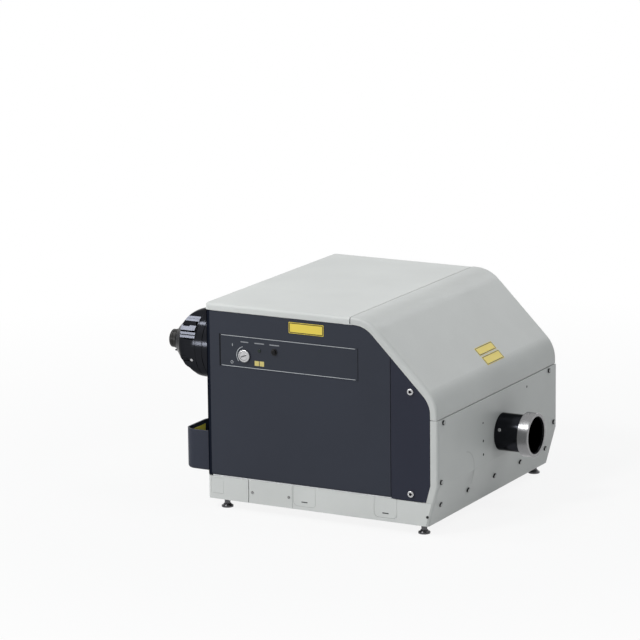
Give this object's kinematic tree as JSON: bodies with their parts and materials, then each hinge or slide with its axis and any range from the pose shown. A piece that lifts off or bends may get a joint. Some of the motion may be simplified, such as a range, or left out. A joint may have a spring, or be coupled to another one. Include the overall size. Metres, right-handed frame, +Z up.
{
  "type": "spinning disk confocal scanner unit",
  "caption": "Bench confocal scanner housing with camera port, microscope port, fibre inlet and key switch, and a spinning microlens and pinhole disk pair and a filter wheel inside.",
  "frame": {"origin": "bottom centre of the bounding box, on the bench under the feet", "axes": "+X out of the microscope port, +Y from the control front to the back, +Z up"},
  "size_m": [0.4864, 0.3832, 0.287],
  "materials": {
    "dark_paint": "satin charcoal navy powder coat",
    "dark_plate": "satin, recessed plate",
    "top_paint": "warm light grey satin paint",
    "side_paint": "light grey satin paint",
    "base_paint": "light grey satin paint",
    "black_anodised": "black anodised, satin",
    "silver_ring": "turned, clear anodised",
    "plain_aluminium": "milled",
    "bright_steel": "bright",
    "dark_steel": "dark, turned",
    "black_steel": "black oxide",
    "black_plastic": "matte",
    "button_plastic": "matte",
    "lamp_lens": "translucent",
    "board_green": "circuit board",
    "coated_glass": "coated optical glass",
    "chrome_disk": "chrome film on glass"
  },
  "bodies": {
    "housing": {"back_panel": "side_paint", "base_cover_plates": "base_paint", "base_pan": "base_paint", "beam_shaper": "black_anodised", "beam_steering_blocks": "black_anodised", "button_switch": "black_plastic", "camera_port_collar": "black_anodised", "camera_port_flange": "black_anodised", "camera_port_head": "black_anodised", "camera_port_screws": "bright_steel", "camera_relay_barrel": "black_anodised", "chassis_frame": "plain_aluminium", "control_board": "board_green", "control_plate": "dark_plate", "cover_screws": "black_steel", "dichroic_rail": "plain_aluminium", "disk_motor": "black_steel", "emission_lamp": "lamp_lens", "fiber_collimator": "black_anodised", "fiber_inlet_box": "dark_paint", "fiber_socket": "bright_steel", "front_cover": "dark_paint", "key_switch": "bright_steel", "left_side_panel": "side_paint", "microscope_port_ring": "silver_ring", "microscope_port_tube": "black_anodised", "mirror_column": "plain_aluminium", "motor_bracket": "plain_aluminium", "optics_deck": "plain_aluminium", "rear_sockets": "black_plastic", "relay_lenses": "coated_glass", "right_side_panel": "side_paint", "scan_relay_barrel": "black_anodised", "shutter_motor": "black_steel", "slope_cover": "side_paint", "top_cover": "top_paint", "transport_caps": "base_paint", "upper_mirror_mount": "plain_aluminium", "wheel_motor": "black_steel"},
    "key": {"key_plug": "bright_steel"},
    "button": {"shutter_button": "button_plastic"},
    "service_panel": {"service_cover": "dark_paint", "service_cover_screws": "bright_steel"},
    "disk_rotor": {"microlens_disk": "coated_glass", "pinhole_disk": "chrome_disk", "disk_hub": "plain_aluminium"},
    "filter_rotor": {"filter_wheel": "black_anodised", "emission_filters": "coated_glass"},
    "dichroic_carrier": {"dichroic_block": "black_anodised", "dichroic_mirrors": "coated_glass"},
    "shutter": {"shutter_blade": "black_steel"},
    "camera_ring": {"camera_mount_ring": "black_anodised"},
    "foot_front_left": {"foot_pad_1": "dark_steel"},
    "stud_front_left": {"foot_stud_1": "dark_steel"},
    "foot_front_right": {"foot_pad_2": "dark_steel"},
    "stud_front_right": {"foot_stud_2": "dark_steel"},
    "foot_rear_left": {"foot_pad_3": "dark_steel"},
    "stud_rear_left": {"foot_stud_3": "dark_steel"},
    "foot_rear_right": {"foot_pad_4": "dark_steel"},
    "stud_rear_right": {"foot_stud_4": "dark_steel"}
  },
  "joints": [
    {"name": "key_turn", "type": "hinge", "parent": "housing", "child": "key", "pos_m": [-0.09975, -0.1914, 0.2185], "axis": [0, 1, 0], "range_deg": [0, 90]},
    {"name": "shutter_button_press", "type": "slide", "parent": "housing", "child": "button", "axis": [0, 1, 0], "range_m": [0, 0.002], "stiffness_N_per_m": 900, "springref_m": -0.001},
    {"name": "service_panel_lift_off", "type": "slide", "parent": "housing", "child": "service_panel", "axis": [0, -1, 0], "range_m": [0, 0.06]},
    {"name": "disk_spin", "type": "hinge", "parent": "housing", "child": "disk_rotor", "pos_m": [0.08175, 0.0376, 0.13095], "axis": [1, 0, 0], "continuous": true},
    {"name": "filter_wheel_turn", "type": "hinge", "parent": "housing", "child": "filter_rotor", "pos_m": [0.12077, -0.0884, 0.11692], "axis": [0, 1, 0], "continuous": true},
    {"name": "dichroic_change", "type": "slide", "parent": "housing", "child": "dichroic_carrier", "axis": [0, 0, 1], "range_m": [-0.024, 0.024]},
    {"name": "shutter_open", "type": "hinge", "parent": "housing", "child": "shutter", "pos_m": [-0.03625, 0.0336, 0.10095], "axis": [1, 0, 0], "range_deg": [0, 40], "stiffness_Nm_per_rad": 0.02, "springref_deg": -20.05},
    {"name": "camera_ring_turn", "type": "hinge", "parent": "housing", "child": "camera_ring", "pos_m": [-0.23525, -0.1344, 0.2183], "axis": [1, 0, 0], "range_deg": [-180, 180]},
    {"name": "foot_height_front_left", "type": "slide", "parent": "housing", "child": "foot_front_left", "axis": [0, 0, -1], "range_m": [-0.003, 0.005]},
    {"name": "foot_turn_front_left", "type": "hinge", "parent": "foot_front_left", "child": "stud_front_left", "pos_m": [-0.13775, -0.1754, 0.008], "axis": [0, 0, -1], "range_deg": [-865, 1441]},
    {"name": "foot_height_front_right", "type": "slide", "parent": "housing", "child": "foot_front_right", "axis": [0, 0, -1], "range_m": [-0.003, 0.005]},
    {"name": "foot_turn_front_right", "type": "hinge", "parent": "foot_front_right", "child": "stud_front_right", "pos_m": [0.16425, -0.1754, 0.008], "axis": [0, 0, -1], "range_deg": [-865, 1441]},
    {"name": "foot_height_rear_left", "type": "slide", "parent": "housing", "child": "foot_rear_left", "axis": [0, 0, -1], "range_m": [-0.003, 0.005]},
    {"name": "foot_turn_rear_left", "type": "hinge", "parent": "foot_rear_left", "child": "stud_rear_left", "pos_m": [-0.13775, 0.1706, 0.008], "axis": [0, 0, -1], "range_deg": [-865, 1441]},
    {"name": "foot_height_rear_right", "type": "slide", "parent": "housing", "child": "foot_rear_right", "axis": [0, 0, -1], "range_m": [-0.003, 0.005]},
    {"name": "foot_turn_rear_right", "type": "hinge", "parent": "foot_rear_right", "child": "stud_rear_right", "pos_m": [0.16425, 0.1706, 0.008], "axis": [0, 0, -1], "range_deg": [-865, 1441]}
  ],
  "couplings": [
    {"joint": "foot_turn_front_left", "follows": "foot_height_front_left", "rad_per_m": 5026.6},
    {"joint": "foot_turn_front_right", "follows": "foot_height_front_right", "rad_per_m": 5026.6},
    {"joint": "foot_turn_rear_left", "follows": "foot_height_rear_left", "rad_per_m": 5026.6},
    {"joint": "foot_turn_rear_right", "follows": "foot_height_rear_right", "rad_per_m": 5026.6}
  ]
}
